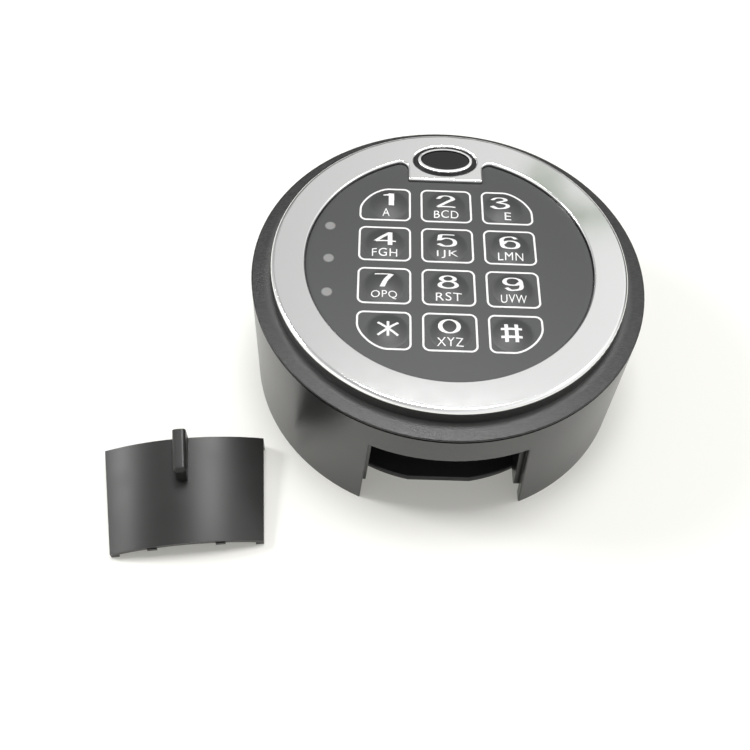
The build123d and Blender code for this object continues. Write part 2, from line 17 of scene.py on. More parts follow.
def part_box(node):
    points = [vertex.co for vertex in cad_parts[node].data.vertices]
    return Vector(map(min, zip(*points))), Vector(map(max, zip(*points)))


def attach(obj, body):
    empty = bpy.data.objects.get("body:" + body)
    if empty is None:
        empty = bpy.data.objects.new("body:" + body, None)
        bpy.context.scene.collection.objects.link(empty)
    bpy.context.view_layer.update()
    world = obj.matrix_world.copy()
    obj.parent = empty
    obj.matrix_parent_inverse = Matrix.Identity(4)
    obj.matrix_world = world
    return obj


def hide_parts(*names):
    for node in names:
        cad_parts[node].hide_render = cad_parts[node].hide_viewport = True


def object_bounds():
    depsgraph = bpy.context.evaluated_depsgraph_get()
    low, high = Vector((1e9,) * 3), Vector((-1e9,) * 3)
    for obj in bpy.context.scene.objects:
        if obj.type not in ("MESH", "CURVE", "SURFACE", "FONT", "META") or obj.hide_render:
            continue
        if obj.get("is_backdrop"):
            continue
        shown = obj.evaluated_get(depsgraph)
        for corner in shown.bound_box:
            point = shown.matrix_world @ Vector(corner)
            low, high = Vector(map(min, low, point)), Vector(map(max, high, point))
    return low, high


MM = 0.001
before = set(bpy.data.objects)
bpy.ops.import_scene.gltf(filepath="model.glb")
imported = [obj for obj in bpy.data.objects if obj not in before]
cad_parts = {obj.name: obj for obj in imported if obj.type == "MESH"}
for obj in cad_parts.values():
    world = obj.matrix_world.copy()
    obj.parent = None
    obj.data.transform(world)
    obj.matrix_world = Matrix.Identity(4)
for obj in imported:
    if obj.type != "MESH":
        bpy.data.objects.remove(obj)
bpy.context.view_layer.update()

# %% [markdown]
# ## Camera
#
# The photograph looks down on the keypad at about 56 degrees, from close by, so the drum's wall
# leans in towards its foot. A camera is a position and three directions, and I give it those
# directly: the columns of its matrix are the picture's right, its up, and the way back from the
# lock to the camera.

# %% Camera at the photograph's place
camera_place = Vector((-22.594, -162.412, 233.292)) * MM
camera_right = Vector((0.99931, 0.01609, 0.03341))
camera_back = Vector((-0.0189, -0.5532, 0.8328))
field_focal_px = 992
picture_px = 750
sensor_mm = 36

camera_data = bpy.data.cameras.new("camera")
camera_data.sensor_width = sensor_mm
camera_data.lens = field_focal_px / picture_px * sensor_mm
camera = bpy.data.objects.new("camera", camera_data)
bpy.context.scene.collection.objects.link(camera)
bpy.context.scene.camera = camera

camera_back.normalize()
camera_up = camera_back.cross(camera_right).normalized()
camera_right = camera_up.cross(camera_back)
camera_turn = Matrix((camera_right, camera_up, camera_back)).transposed().to_4x4()
camera.matrix_world = Matrix.Translation(camera_place) @ camera_turn
print("lens in millimetres:", round(camera_data.lens, 2))

# %% [markdown]
# ## Shader expressions
#
# Material patterns are small sums: a mask times a strength, one minus a mask. In the node editor
# each sum is a Math node with two wires. A class that wraps a socket and overloads Python's
# operators lets the script say `1 - mask * 0.3`, and each operator adds its Math node. Any other
# node comes from one method, which sets the node's settings first, because some of them change
# which sockets there are.

# %% A wire, and the nodes it joins
class Wire:
    """One output socket of a node, for use in expressions."""

    def __init__(self, nodes, socket):
        self.nodes = nodes
        self.socket = socket

    def maths(self, operation, first, second):
        return self.nodes.node("ShaderNodeMath", {"operation": operation}, {0: first, 1: second})

    def __add__(self, other):
        return self.maths("ADD", self, other)

    def __radd__(self, other):
        return self.maths("ADD", other, self)

    def __sub__(self, other):
        return self.maths("SUBTRACT", self, other)

    def __rsub__(self, other):
        return self.maths("SUBTRACT", other, self)

    def __mul__(self, other):
        return self.maths("MULTIPLY", self, other)

    def __rmul__(self, other):
        return self.maths("MULTIPLY", other, self)


class Nodes:
    """The node tree of a material or of the world."""

    def __init__(self, tree):
        self.tree = tree

    def plug(self, socket, value):
        """Give a socket a value or a wire."""
        if isinstance(value, Wire):
            self.tree.links.new(value.socket, socket)
        else:
            socket.default_value = value

    def node(self, kind, settings=None, values=None, output=0):
        """Add a node: its settings first, then the values or wires of its sockets."""
        node = self.tree.nodes.new(kind)
        for key, value in (settings or {}).items():
            setattr(node, key, value)
        for key, value in (values or {}).items():
            self.plug(node.inputs[key], value)
        return Wire(self, node.outputs[output])

    def ramp(self, value, low, high, start=0.0, end=1.0):
        """A smooth step from start to end while a value goes from low to high."""
        settings = {"interpolation_type": "SMOOTHSTEP"}
        values = {"Value": value, "From Min": low, "From Max": high, "To Min": start, "To Max": end}
        return self.node("ShaderNodeMapRange", settings, values)

    def mix(self, factor, first, second):
        """A colour between two colours."""
        values = {0: factor, 6: (*first, 1), 7: (*second, 1)}
        return self.node("ShaderNodeMix", {"data_type": "RGBA"}, values, output=2)

    def distance(self, place, point=(0, 0, 0)):
        """How far a place is from a point, which is the origin if none is given."""
        settings = {"operation": "DISTANCE"}
        return self.node("ShaderNodeVectorMath", settings, {0: place, 1: point}, output="Value")


# %% A finish is a material under construction
finishes = {}


class Finish(Nodes):
    """A material: its Principled shader and the nodes that feed it."""

    def __init__(self, name, colour, roughness, metallic=0.0):
        finishes[name] = self
        self.material = bpy.data.materials.new(name)
        self.material.use_nodes = True
        super().__init__(self.material.node_tree)
        self.shader = self.tree.nodes["Principled BSDF"]
        self.set("Base Color", (*colour, 1))
        self.set("Roughness", roughness)
        self.set("Metallic", metallic)

    def set(self, socket, value):
        self.plug(self.shader.inputs[socket], value)

    def place(self, stretch=(1, 1, 1), turn=0.0):
        """Object coordinates in millimetres, stretched along each axis and turned about Z."""
        values = {
            "Vector": self.node("ShaderNodeTexCoord", output="Object"),
            "Scale": [factor / MM for factor in stretch],
            "Rotation": (0, 0, math.radians(turn)),
        }
        return self.node("ShaderNodeMapping", {}, values)

    def noise(self, per_mm, detail=2.0, stretch=(1, 1, 1), turn=0.0):
        """A noise between 0 and 1 with so many features to a millimetre."""
        values = {"Vector": self.place(stretch, turn), "Scale": per_mm, "Detail": detail}
        return self.node("ShaderNodeTexNoise", {}, values)

    def radius(self):
        """The distance from the drum's axis in millimetres."""
        return self.distance(self.place(stretch=(1, 1, 0)))

    def bump(self, height, depth_mm, strength=1.0):
        """Tilt the surface by a height from 0 to 1 that stands for so many millimetres."""
        values = {"Height": height, "Distance": depth_mm * MM, "Strength": strength}
        self.set("Normal", self.node("ShaderNodeBump", {}, values))


def swing(pattern, spread):
    """A pattern from 0 to 1 turned into one that swings about zero."""
    return (pattern - 0.5) * spread


def brighter(colour, factor):
    """A lighter form of a colour, up to full white."""
    return [min(channel * factor, 1.0) for channel in colour]


# %% [markdown]
# ## Black moulded plastic
#
# The drum and its cover are moulded in black plastic with a soft, slightly oily sheen. A real
# moulding is never even: handling leaves faint patches that shine a little more, the wall sinks
# by a hair where it cooled last, and the tool leaves a very fine grain. I vary the roughness with
# a wide noise and add the sinks and the grain as bump, so only the light plays on the black.

# %% Drum and cover plastic
plastic_gloss = 0.62
cover_gloss = 0.24
patch_contrast = 1.3
sink_share = 10


def moulded_plastic(name, colour, roughness, patch_spread, grain_mm, gloss=plastic_gloss):
    """A plastic that shines more in wide patches, with sinks and a fine grain in its face."""
    finish = Finish(name, colour, roughness)
    patches = finish.noise(per_mm=0.06, detail=3)
    grain = finish.noise(per_mm=5.0, detail=1)
    sinks = finish.noise(per_mm=0.11, detail=1)
    finish.set("Base Color", finish.mix(patches, colour, brighter(colour, patch_contrast)))
    finish.set("Roughness", roughness + swing(patches, patch_spread))
    finish.bump(grain + sinks * sink_share, depth_mm=grain_mm, strength=0.6)
    finish.set("Specular IOR Level", gloss)
    return finish.material


drum_plastic = moulded_plastic(
    "drum_plastic",
    (0.015, 0.015, 0.0145),
    roughness=0.265,
    patch_spread=0.02,
    grain_mm=0.003,
)
cover_plastic = moulded_plastic(
    "cover_plastic",
    (0.023, 0.0227, 0.022),
    roughness=0.345,
    patch_spread=0.14,
    grain_mm=0.004,
    gloss=cover_gloss,
)
inner_plastic = moulded_plastic(
    "inner_plastic",
    (0.012, 0.012, 0.013),
    roughness=0.5,
    patch_spread=0.10,
    grain_mm=0.004,
)
print("plastics:", sorted(finishes))

# %% [markdown]
# ## Satin rim
#
# The flat rim round the chrome has a finer, duller face than the wall. Close up it shows short
# slanting streaks, as a moulding does whose tool was rubbed down by hand. A noise that is
# squeezed along one diagonal gives such streaks, both in the shine and as a shallow relief. The
# collar that rises from the rim to the chrome, and the rim where it meets the collar, are painted
# paler: painted light that lifts the shade under the chrome's overhang. Two masks hold that painted
# light: one starts at the rim's height, and one fades out with the distance from the axis.

# %% Rim plastic
rim_top = 37.8
rim_gloss = 0.45
rim_roughness = 0.31
rim_black = (0.001, 0.001, 0.001)
# One grey for the rim's pale streaks and for the painted light on the collar and at its foot.
rim_streak_and_light_grey = (0.048, 0.048, 0.047)
collar_light_rise = (0.1, 0.3)
foot_light_reach = (45.6, 47.4)
streak_edge = (0.36, 0.64)
streak_paleness = 0.30


def satin_rim():
    """A rubbed black plastic with slanting streaks, and with painted light on the collar and at its
    foot.
    """
    finish = Finish("rim_plastic", rim_black, rim_roughness)
    streaks = finish.noise(per_mm=1.2, detail=4, stretch=(0.8, 3.6, 1.0), turn=35)
    speckle = finish.noise(per_mm=7.0, detail=1)
    height = finish.node("ShaderNodeSeparateXYZ", {}, {0: finish.place()}, output="Z")
    # Painted light: the collar and the rim at its foot get a paler colour that lifts the shade
    # under the chrome's overhang.
    collar = finish.ramp(height, *(rim_top + rise for rise in collar_light_rise))
    foot = finish.ramp(finish.radius(), *foot_light_reach, start=1.0, end=0.0)
    pale = collar + foot * (1 - collar)
    shade = finish.ramp(streaks, *streak_edge) * streak_paleness * (1 - pale) + pale
    finish.set("Base Color", finish.mix(shade, rim_black, rim_streak_and_light_grey))
    finish.set("Roughness", rim_roughness + streaks * 0.08)
    finish.set("Specular IOR Level", rim_gloss)
    finish.bump(streaks * 0.6 + speckle * 0.4, depth_mm=0.07, strength=0.9)
    return finish.material


rim_plastic = satin_rim()

# %% [markdown]
# ## Chrome
#
# The ring is plated plastic. Plating copies the moulding under it, which is a little wavy, so its
# reflections wander instead of lying dead straight. A very shallow, wide bump does that. Fingers
# dull it in faint patches, which the roughness follows.

# %% Chrome plating
chrome_roughness = 0.065
smear_roughness = 0.03


def chrome_plating():
    """Bright plating with shallow waves, dulled by faint smears."""
    finish = Finish("bright_chrome", (0.86, 0.865, 0.855), chrome_roughness, metallic=1.0)
    waves = finish.noise(per_mm=0.09, detail=1)
    smears = finish.noise(per_mm=0.35, detail=3)
    finish.set("Roughness", chrome_roughness + smears * smear_roughness)
    finish.bump(waves, depth_mm=0.04, strength=0.3)
    return finish.material


bright_chrome = chrome_plating()

# %% [markdown]
# ## Keypad film and ink
#
# The panel and the key tops are one family of dark grey printed film with a satin face. Its grain
# is so fine that only the sheen shows it. Where the panel meets the ring, the gap between them lies
# in shade, and that shade is painted: the film turns black over its last fraction of a millimetre.
# The outlines and characters are white screen ink, which lies on the film as a thin matt layer and
# is never quite even in thickness.

# %% Film and ink
film_gloss = 0.42
film_contrast = 1.15
cloud_share = 0.13
# Painted shade: the film turns black where the gap at the ring lies in shade.
gap_shade_reach = (36.0, 36.2)
gap_shade_black = (0.001, 0.001, 0.001)
edge_shine = 0.22


def printed_film(name, colour, roughness, relief_mm=0.005):
    """A film whose colour clouds a little, with painted shade where its edge meets the ring."""
    finish = Finish(name, colour, roughness)
    cloud = finish.noise(per_mm=0.05, detail=2)
    grain = finish.noise(per_mm=6.0, detail=1)
    # Painted shade at the gap by the ring: black base colour and less roughness there.
    edge = finish.ramp(finish.radius(), *gap_shade_reach)
    shades = (cloud * cloud_share + (1 - cloud_share)) * (1 - edge)
    finish.set("Base Color", finish.mix(shades, gap_shade_black, brighter(colour, film_contrast)))
    finish.set("Roughness", roughness + swing(grain, 0.12) - edge * edge_shine)
    finish.bump(grain, relief_mm, strength=0.5)
    finish.set("Specular IOR Level", film_gloss)
    return finish.material


overlay_film = printed_film("overlay_film", (0.038, 0.0395, 0.039), 0.49)
key_plastic = printed_film("key_plastic", (0.036, 0.0375, 0.037), 0.47)
white_ink = printed_film("white_ink", (0.78, 0.78, 0.77), 0.55)

# %% [markdown]
# ## Small parts
#
# The windows over the lights are pale, clouded plastic, so a little light enters and spreads. The
# reader's centre is a darkened contact, its bush is dead black, and the base plate is coated
# steel whose coating has tiny pits. Inside there are nickel-plated screws and snaps, brass
# strips, a green board, grey silicone and black packages. Each gets its own pattern, however
# little of it shows.

# %% Small finishes
black = (0.010, 0.010, 0.010)
matt_gloss = 0.2


def plain_finish(
    name, colour, roughness, metallic=0.0, per_mm=2.0, relief_mm=0.005, contrast=1.2, gloss=0.5
):
    """A finish with one pattern in its colour, its shine and its relief."""
    finish = Finish(name, colour, roughness, metallic)
    pattern = finish.noise(per_mm, detail=3)
    finish.set("Base Color", finish.mix(pattern, colour, brighter(colour, contrast)))
    finish.set("Roughness", roughness + swing(pattern, 0.15))
    finish.set("Specular IOR Level", gloss)
    finish.bump(pattern, relief_mm, strength=0.4)
    return finish.material


insulator_black = plain_finish("insulator_black", black, 0.5, gloss=matt_gloss)
reader_dark = plain_finish("reader_core", black, 0.48, per_mm=1.2, gloss=matt_gloss)
reader_steel = plain_finish(
    "reader_steel", (0.94, 0.94, 0.93), 0.20, metallic=1.0, per_mm=1.5, contrast=1.05
)
plate_metal = plain_finish("plate_metal", (0.030, 0.030, 0.031), 0.42, per_mm=3.0, relief_mm=0.02)
plated_steel = plain_finish("plated_steel", (0.60, 0.60, 0.59), 0.25, metallic=1.0, per_mm=4.0)
contact_brass = plain_finish("contact_brass", (0.72, 0.55, 0.26), 0.28, metallic=1.0, per_mm=3.0)
board_laminate = plain_finish("board_laminate", (0.03, 0.16, 0.07), 0.38, per_mm=1.5)
mat_rubber = plain_finish("mat_rubber", (0.26, 0.27, 0.28), 0.62, per_mm=3.0)
package_plastic = plain_finish("package_plastic", (0.025, 0.025, 0.026), 0.5, per_mm=4.0)
socket_plastic = plain_finish(
    "socket_plastic", (0.74, 0.70, 0.60), 0.45, per_mm=1.0, contrast=1.08
)
led_white = plain_finish("led_white", (0.80, 0.80, 0.70), 0.35, per_mm=2.0, contrast=1.08)
print("finishes:", len(finishes))

# %% Windows over the lights
pipe_dark = (0.045, 0.046, 0.045)
pipe_pale = (0.245, 0.245, 0.24)
pipe_window = 1.53
pipe_behind = 0.15
pipe_edge = (0.68, 1.0)
pipe_milkiness = 0.3
milk_depth_mm = 1.0


def light_pipe_finish():
    """Three milky windows, each darker round its border."""
    finish = Finish("light_pipe", pipe_pale, 0.40)
    low, high = (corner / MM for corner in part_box("light_pipes"))
    flange = (high.x - low.x) / 2
    middle = (low.x + high.x) / 2
    rows = (low.y + flange, (low.y + high.y) / 2, high.y - flange)
    place = finish.place()
    nearest = flange
    for row in rows:
        distance = finish.distance(place, (middle, row + pipe_behind, high.z))
        nearest = finish.node("ShaderNodeMath", {"operation": "MINIMUM"}, {0: nearest, 1: distance})
    border = finish.ramp(nearest, *(pipe_window * share for share in pipe_edge))
    finish.set("Base Color", finish.mix(border, pipe_pale, pipe_dark))
    finish.set("Specular IOR Level", film_gloss)
    finish.set("Subsurface Weight", pipe_milkiness)
    finish.set("Subsurface Scale", milk_depth_mm * MM)
    print("light pipes at y:", [round(row, 1) for row in rows])
    return finish.material


light_pipe = light_pipe_finish()

# %% [markdown]
# ## From a bmesh to a piece
#
# Every piece is shaped in millimetres in a bmesh and then scaled into metres, so its object sits
# at the origin like a CAD node. Smooth shading hides the facets of round faces, and edges sharper
# than a given angle stay crisp.

# %% Piece helpers
merge_mm = 0.001
flat_degrees = 0.4


def finished(shape, name, material, body, stands_for=(), smooth_degrees=35):
    """Turn a bmesh in millimetres into a piece that rides on a body."""
    bmesh.ops.scale(shape, vec=(MM, MM, MM), verts=shape.verts)
    mesh = bpy.data.meshes.new(name)
    shape.to_mesh(mesh)
    shape.free()
    mesh.shade_smooth()
    mesh.set_sharp_from_angle(angle=math.radians(smooth_degrees))
    mesh.materials.append(material)
    piece = bpy.data.objects.new(name, mesh)
    bpy.context.scene.collection.objects.link(piece)
    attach(piece, body)
    if stands_for:
        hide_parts(*stands_for)
    return piece


def cad_copy(node):
    """A CAD node's shape in millimetres, its loose triangles joined into whole faces."""
    shape = bmesh.new()
    shape.from_mesh(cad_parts[node].data)
    bmesh.ops.scale(shape, vec=(1 / MM, 1 / MM, 1 / MM), verts=shape.verts)
    bmesh.ops.remove_doubles(shape, verts=shape.verts, dist=merge_mm)
    bmesh.ops.dissolve_limit(
        shape,
        angle_limit=math.radians(flat_degrees),
        use_dissolve_boundaries=False,
        verts=shape.verts,
        edges=shape.edges,
    )
    return shape


def height_of(node):
    """The lowest and highest z of a CAD node, in millimetres."""
    low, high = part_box(node)
    return low.z / MM, high.z / MM


def round_edges(shape, edges, reach, segments):
    """Round some edges of a shape."""
    bmesh.ops.bevel(
        shape,
        geom=edges,
        offset=reach,
        segments=segments,
        profile=0.5,
        affect="EDGES",
        material=-1,
    )


# %% [markdown]
# ## True normals
#
# A CAD mesh cuts a round wall into strips of uneven width, and a flat face into long thin
# triangles. Blender averages the directions of the faces at each corner, so such a mesh shades
# with streaks. But the true direction is known: on the drum's wall it points away from the axis,
# and on a flat face it is the face's own. I set those directly. The narrow faces of a rounded edge
# take theirs from the large face they run into, and along an edge that runs round the axis, all
# corners at one radius and height share one lean, so a highlight there stays one even line.

# %% True normals for flat and round faces
flat_area = 3.0 * MM**2
round_reach = 20 * MM
ring_grid = 0.03 * MM
ring_lean = 0.15
round_lean = 0.99
narrow_degrees = 28
drum_axis = (Vector((0, 0, 0)), Vector((0, 0, 1)))


def spoke(point, axis):
    """The straight line from an axis out to a point."""
    centre, along = axis
    reach = point - centre
    return reach - along * reach.dot(along)


def even_rings(mesh, narrow, corner_normals, axis):
    """Give the corners of one ring round the axis the same lean, for faces on a rounded edge."""
    rings = {}
    for face in narrow:
        outward = spoke(face.center, axis)
        sideways = abs(face.normal.dot(axis[1].cross(outward.normalized())))
        if outward.length < round_reach or sideways > ring_lean:
            continue
        lean = round(face.normal.dot(axis[1]) / ring_lean)
        for corner in face.loop_indices:
            point = mesh.vertices[mesh.loops[corner].vertex_index].co
            reach = spoke(point, axis)
            level = (point - axis[0]).dot(axis[1])
            key = (round(reach.length / ring_grid), round(level / ring_grid), lean)
            rings.setdefault(key, []).append((corner, reach.normalized()))
    for ring in rings.values():
        out = sum(corner_normals[corner].dot(reach) for corner, reach in ring)
        up = sum(corner_normals[corner].dot(axis[1]) for corner, reach in ring)
        for corner, reach in ring:
            corner_normals[corner] = (reach * out + axis[1] * up).normalized()
    return len(rings)


def true_normals(piece, axis=drum_axis):
    """Set the normals that a piece's flat and round faces really have."""
    mesh = piece.data
    corner_normals = [corner.vector.copy() for corner in mesh.corner_normals]
    known = {}
    narrow = []
    for face in mesh.polygons:
        outward = spoke(face.center, axis)
        lean = face.normal.dot(outward.normalized())
        is_round = outward.length > round_reach and abs(lean) > round_lean
        if not is_round and face.area < flat_area:
            narrow.append(face)
            continue
        for corner in face.loop_indices:
            point = mesh.loops[corner].vertex_index
            normal = face.normal.copy()
            if is_round:
                normal = spoke(mesh.vertices[point].co, axis).normalized() * lean
                normal += axis[1] * face.normal.dot(axis[1])
            corner_normals[corner] = normal.normalized()
            known.setdefault(point, []).append(normal.normalized())
    near = math.cos(math.radians(narrow_degrees))
    for face in narrow:
        for corner in face.loop_indices:
            choices = known.get(mesh.loops[corner].vertex_index, [])
            closest = max(choices, key=face.normal.dot, default=None)
            if closest and closest.dot(face.normal) > near:
                corner_normals[corner] = closest
    rings = even_rings(mesh, narrow, corner_normals, axis)
    mesh.normals_split_custom_set(corner_normals)
    print(piece.name, "has", rings, "rings on its rounded edges")


# %% [markdown]
# ## The drum, its rim and the parts inside
#
# These shapes are right as the CAD gives them, with their rounded edges, so I only join up their
# triangles, smooth their round faces and give each its finish. The drum and the top cover are one
# plastic in two states: the wall has come from a polished tool, the rim from a rubbed one.

# %% Dress the fixed parts
hole_round = 0.45
hole_segments = 4
hole_margin = 1.0
sharp_degrees = 60


def round_reader_hole(shape):
    """Round the upper edge of the hole for the reader, as the plating leaves it."""
    low, high = (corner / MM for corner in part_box("reader_insulator"))
    top = max(vert.co.z for vert in shape.verts)

    def at_hole(point):
        """Whether a point is on the upper face and close to the bush."""
        near_x = low.x - hole_margin < point.x < high.x + hole_margin
        near_y = low.y - hole_margin < point.y < high.y + hole_margin
        return near_x and near_y and abs(point.z - top) < 10 * merge_mm

    steep = math.radians(sharp_degrees)
    edges = [edge for edge in shape.edges if all(at_hole(vert.co) for vert in edge.verts)]
    sharp = [edge for edge in edges if abs(edge.calc_face_angle(0.0)) > steep]
    print("edges round the reader hole:", len(sharp))
    round_edges(shape, sharp, hole_round, hole_segments)


drum_parts = {
    "housing": drum_plastic,
    "top_cover": rim_plastic,
    "keypad_overlay": overlay_film,
    "light_pipes": light_pipe,
    "base_plate": plate_metal,
    "clinch_nuts": plated_steel,
    "plate_screws": plated_steel,
    "case_screws": plated_steel,
    "board_screws": plated_steel,
    "terminal_plate": inner_plastic,
    "battery_snaps": plated_steel,
    "battery_strips": contact_brass,
    "key_mat": mat_rubber,
    "circuit_board": board_laminate,
    "controller_chip": package_plastic,
    "buzzer": package_plastic,
    "lock_socket": socket_plastic,
    "indicator_leds": led_white,
    "reader_insulator": insulator_black,
    "reader_ring": reader_steel,
    "reader_core": reader_dark,
    "reader_pins": contact_brass,
    "bezel": bright_chrome,
}
for node, material in drum_parts.items():
    shape = cad_copy(node)
    if node == "bezel":
        round_reader_hole(shape)
    true_normals(finished(shape, node + "_dressed", material, "lock_body", [node]))
print("fixed parts dressed:", len(drum_parts))

# %% [markdown]
# ## Key tops
#
# Each key is a shallow round pillow in the film, a little over ten millimetres across. Real ones
# are embossed, so the pillow leaves the panel in a soft curve with no step. I draw half of its
# outline, from the crown to the stem's foot, and spin it. The crown's height at any radius is one
# formula, which the characters use again later to lie on the curved face.

# %% Key tops
keypad_names = ("1", "2", "3", "4", "5", "6", "7", "8", "9", "star", "0", "hash")
overlay_top = height_of("keypad_overlay")[1]
key_low, key_crown = height_of("key_5")
pillow_radius = 5.05
pillow_fullness = 1.2
skirt_radius = 5.32
flange_radius = 6.0
flange_thickness = 0.9
pillow_rings = 14
key_steps = 72


def pillow_height(radius):
    """The height of a key's face at a distance from its centre."""
    share = min(radius / pillow_radius, 1.0)
    return overlay_top + (key_crown - overlay_top) * (1 - share**2) ** pillow_fullness


def turned(outline, steps):
    """A solid of revolution about Z from an outline of (radius, height) points."""
    shape = bmesh.new()
    corners = [shape.verts.new((radius, 0, height)) for radius, height in outline]
    edges = [shape.edges.new(pair) for pair in zip(corners, corners[1:])]
    bmesh.ops.spin(
        shape,
        geom=corners + edges,
        cent=(0, 0, 0),
        axis=(0, 0, 1),
        angle=math.tau,
        steps=steps,
        use_merge=True,
    )
    bmesh.ops.remove_doubles(shape, verts=shape.verts, dist=merge_mm)
    bmesh.ops.recalc_face_normals(shape, faces=shape.faces)
    return shape


def key_centre(name):
    """The middle of a key, in millimetres."""
    low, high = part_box("key_" + name)
    return (low.x + high.x) / 2 / MM, (low.y + high.y) / 2 / MM


ring_radii = [pillow_radius * ring / pillow_rings for ring in range(pillow_rings + 1)]
face = [(radius, pillow_height(radius)) for radius in ring_radii]
stem = [
    (skirt_radius, overlay_top),
    (skirt_radius, key_low + flange_thickness),
    (flange_radius, key_low + flange_thickness),
    (flange_radius, key_low),
    (0, key_low),
]
for name in keypad_names:
    key = turned(face + stem, key_steps)
    bmesh.ops.translate(key, vec=(*key_centre(name), 0), verts=key.verts)
    finished(key, f"key_{name}_top", key_plastic, "key_" + name, ["key_" + name])
print("keys made:", len(keypad_names), "crown at", round(key_crown, 2))

# %% [markdown]
# ## Printed outlines
#
# A white line frames each key. Most corners are tight, but the four that face the panel's round
# edge are cut off in a wide, flat sweep. I start from one square face, stretch it, and bevel each
# corner point: a profile of 0.5 gives a round corner, and one nearer to 0.25 gives the flatter
# sweep. An inset then splits off the line, and a tiny extrusion gives the ink its thickness.

# %% Key outlines
frame_width = 13.4
frame_depth = 11.4
line_width = 0.49
ink_thickness = 0.03
corner_segments = 12
tight_corner = (1.8, 0.5)
swept_corner = (7.4, 0.42)
frame_columns = (-16.38, -0.40, 15.6)
frame_rows = (19.05, 5.5, -8.15, -21.85)


def corner_form(x, y, column, row):
    """The reach and profile of one corner: swept where it faces the panel's edge."""
    outer_column = (column == 0 and x < 0) or (column == 2 and x > 0)
    outer_row = (row == 0 and y > 0) or (row == 3 and y < 0)
    return swept_corner if outer_column and outer_row else tight_corner


def raise_ink(shape):
    """Give a flat shape the ink's thickness, and sink as much into the face that it lies on."""
    extruded = bmesh.ops.extrude_face_region(shape, geom=shape.faces[:])
    raised = [item for item in extruded["geom"] if isinstance(item, bmesh.types.BMVert)]
    bmesh.ops.translate(shape, vec=(0, 0, 2 * ink_thickness), verts=raised)
    bmesh.ops.translate(shape, vec=(0, 0, -ink_thickness), verts=shape.verts)
    bmesh.ops.recalc_face_normals(shape, faces=shape.faces)


def key_frame(column, row):
    """The outline of one key, as a thin raised line."""
    shape = bmesh.new()
    bmesh.ops.create_grid(shape, x_segments=1, y_segments=1, size=0.5)
    bmesh.ops.scale(shape, vec=(frame_width, frame_depth, 1), verts=shape.verts)
    for corner in list(shape.verts):
        reach, profile = corner_form(corner.co.x, corner.co.y, column, row)
        bmesh.ops.bevel(
            shape,
            geom=[corner],
            offset=reach,
            segments=corner_segments,
            profile=profile,
            affect="VERTICES",
            material=-1,
        )
    bmesh.ops.inset_region(
        shape, faces=shape.faces, thickness=line_width, use_even_offset=True, use_boundary=True
    )
    middle = max(shape.faces, key=lambda face: face.calc_area())
    bmesh.ops.delete(shape, geom=[middle], context="FACES")
    raise_ink(shape)
    place = (frame_columns[column], frame_rows[row], overlay_top)
    bmesh.ops.translate(shape, vec=place, verts=shape.verts)
    return shape


for row in range(4):
    for column in range(3):
        name = keypad_names[row * 3 + column]
        finished(key_frame(column, row), f"frame_{name}", white_ink, "lock_body")
print("outlines printed:", len(keypad_names))

# %% [markdown]
# ## Digits
#
# The digits are wide, with thick uprights and thin level strokes, as a broad nib held level draws
# them. So I write them with such a nib. Each digit is one or more strokes through a few points,
# and a curve's round bevel sweeps a nib of even width along them. The trick is to write in a
# squeezed space and stretch the result sideways: the even stroke turns into the broad nib's.
# Pressed flat, the strokes are ink, and every point then takes the height of the pillow under it.

# %% Strokes of the digits
nib = (1.08, 0.38)
sign_nib = (0.76, 0.60)
star_nib = (0.62, 0.50)
stroke_steps = 8
stroke_swell = 3
oval_handle = 0.5523
six_points = [
    (0.85, 0.62),
    (0.08, 1.0),
    (-1.0, -0.1),
    (0.0, -1.0),
    (1.0, -0.38),
    (0.02, 0.22),
    (-0.92, -0.3),
]
strokes = {
    "2": [
        [(-0.95, 0.45), (-0.05, 1.0), (0.85, 0.55), (0.25, -0.1), (-0.95, -0.98)],
        [(-1.0, -1.0), (1.12, -1.0)],
    ],
    "3": [
        [(-0.9, 0.6), (-0.05, 1.0), (0.82, 0.55), (-0.25, 0.08)],
        [(-0.25, 0.08), (1.0, -0.42), (0.0, -1.0), (-1.0, -0.52)],
    ],
    "4": [[(0.42, 1.0), (0.42, -1.0)], [(0.42, 0.95), (-1.0, -0.38)], [(-1.0, -0.4), (1.0, -0.4)]],
    "5": [
        [(-0.72, 1.0), (0.98, 1.0)],
        [(-0.72, 1.0), (-0.88, -0.02)],
        [(-0.88, 0.02), (0.05, 0.33), (1.0, -0.33), (0.0, -1.0), (-1.0, -0.58)],
    ],
    "6": [six_points],
    "7": [[(-1.0, 1.0), (1.0, 1.0)], [(0.95, 1.0), (0.3, 0.0), (-0.12, -1.0)]],
    "9": [[(-x, -y) for x, y in six_points]],
    "#": [
        [(-0.48, 1.0), (-0.48, -1.0)],
        [(0.48, 1.0), (0.48, -1.0)],
        [(-1.0, 0.45), (1.0, 0.45)],
        [(-1.0, -0.45), (1.0, -0.45)],
    ],
    "*": [[(0.0, 1.0), (0.0, -1.0)], [(-1.0, 0.88), (1.0, -0.88)], [(-1.0, -0.88), (1.0, 0.88)]],
}
loops = {
    "0": [[(0.0, 1.0), (1.0, 0.0), (0.0, -1.0), (-1.0, 0.0)]],
    "8": [
        [(0.0, 1.0), (0.80, 0.53), (0.0, 0.06), (-0.80, 0.53)],
        [(0.0, 0.06), (1.0, -0.47), (0.0, -1.0), (-1.0, -0.47)],
    ],
}


def draw_oval(spline):
    """Give a loop of four points the handles of an oval."""
    points = list(spline.bezier_points)
    for before, point, after in zip(points[-1:] + points[:-1], points, points[1:] + points[:1]):
        along = (after.co - before.co) / 2 * oval_handle
        point.handle_left_type = point.handle_right_type = "FREE"
        point.handle_left = point.co - along
        point.handle_right = point.co + along


